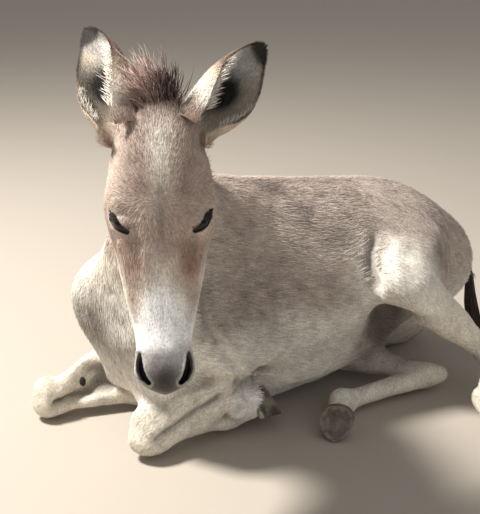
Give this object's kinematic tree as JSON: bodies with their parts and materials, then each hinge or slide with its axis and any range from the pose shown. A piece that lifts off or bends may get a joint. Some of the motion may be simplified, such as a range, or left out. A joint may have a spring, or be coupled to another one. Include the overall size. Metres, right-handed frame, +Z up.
{
  "type": "resting donkey",
  "caption": "Still, life-size donkey lying on its chest, forelegs folded and head turned to one side.",
  "frame": {"origin": "on the floor, under the middle of the model's box", "axes": "+Y from the chest to the buttocks, +X to the donkey's left, where it looks, +Z up"},
  "size_m": [0.6896, 1.1084, 0.7866],
  "materials": {
    "coat": "short dun hair, cream below, brown-grey on the back and brow",
    "mane": "upright brown-grey mane hair, and near black in the tail switch",
    "hoof": "grey-brown horn with growth rings, dusty",
    "eye": "wet, near black brown eye"
  },
  "bodies": {
    "root": {"trunk": "coat", "neck": "coat", "head": "coat", "ear_left": "coat", "ear_right": "coat", "eye_left": "eye", "eye_right": "eye", "mane": "mane", "tail": "coat", "tail_switch": "mane", "foreleg_left_forearm": "coat", "foreleg_left_cannon": "coat", "forehoof_left": "hoof", "foreleg_right_forearm": "coat", "foreleg_right_cannon": "coat", "forehoof_right": "hoof", "hindleg_left_thigh": "coat", "hindleg_left_gaskin": "coat", "hindleg_left_cannon": "coat", "hindhoof_left": "hoof", "hindleg_right_thigh": "coat", "hindleg_right_gaskin": "coat", "hindleg_right_cannon": "coat", "hindhoof_right": "hoof"}
  },
  "joints": []
}
